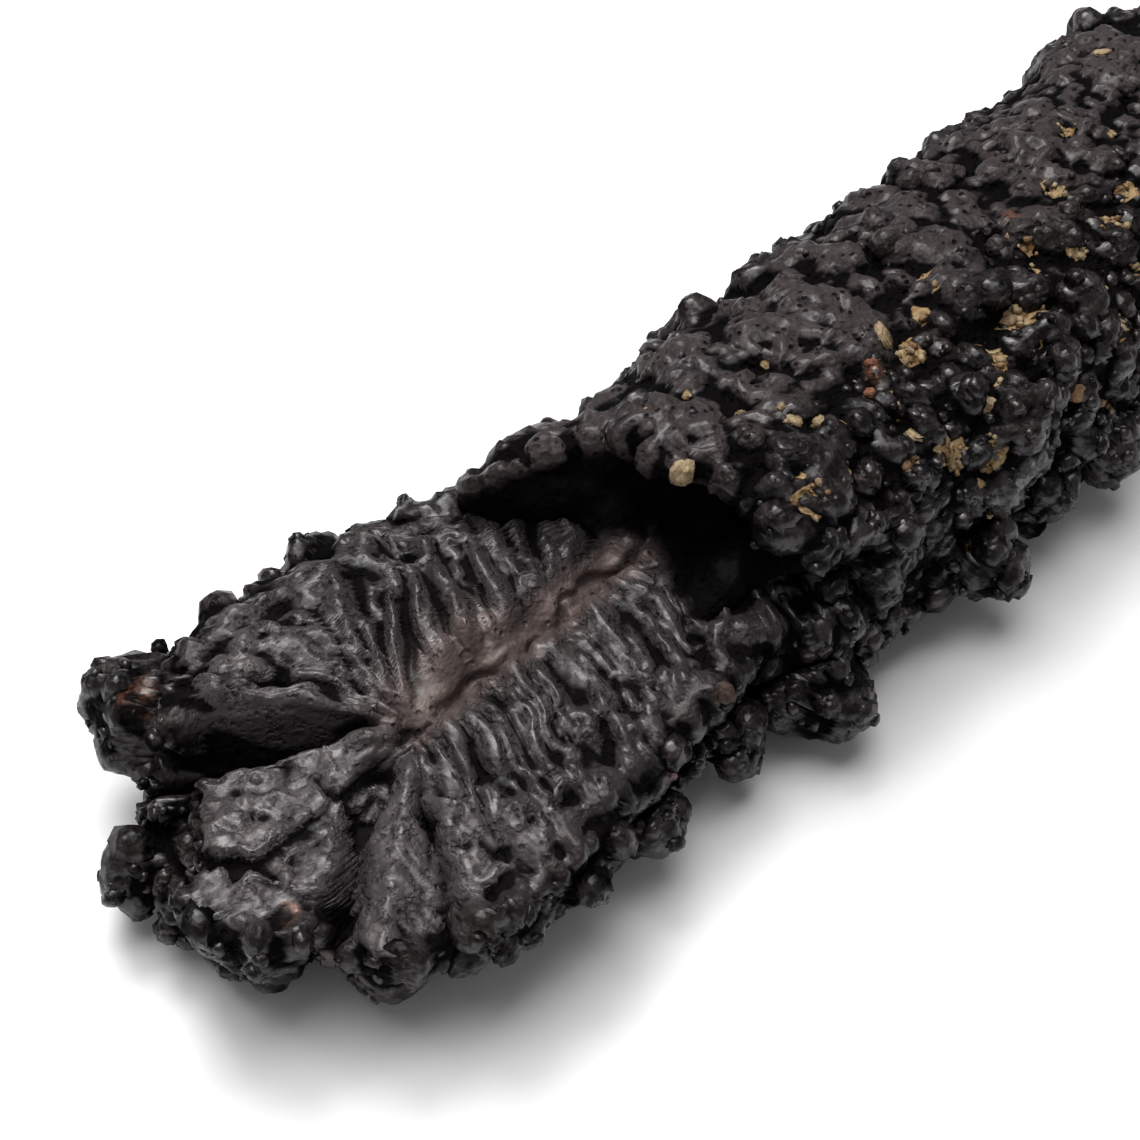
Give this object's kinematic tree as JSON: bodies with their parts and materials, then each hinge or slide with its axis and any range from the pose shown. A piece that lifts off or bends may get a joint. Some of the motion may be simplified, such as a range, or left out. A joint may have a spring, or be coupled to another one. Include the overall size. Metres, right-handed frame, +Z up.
{
  "type": "prophecy stone",
  "caption": "Natural knobbly stick of dark iron oxide lying on its side; its broken end bares a ribbed, leaf-like fracture face.",
  "frame": {"origin": "middle of the stone's bounding box, at the surface that it rests on", "axes": "+X along the stick from its broken tip to its rounded end, +Y towards the side with the cleft, +Z up"},
  "size_m": [0.0726, 0.0227, 0.0128],
  "materials": {
    "iron_oxide": "semi-gloss"
  },
  "bodies": {
    "root": {"stone": "iron_oxide"}
  },
  "joints": []
}
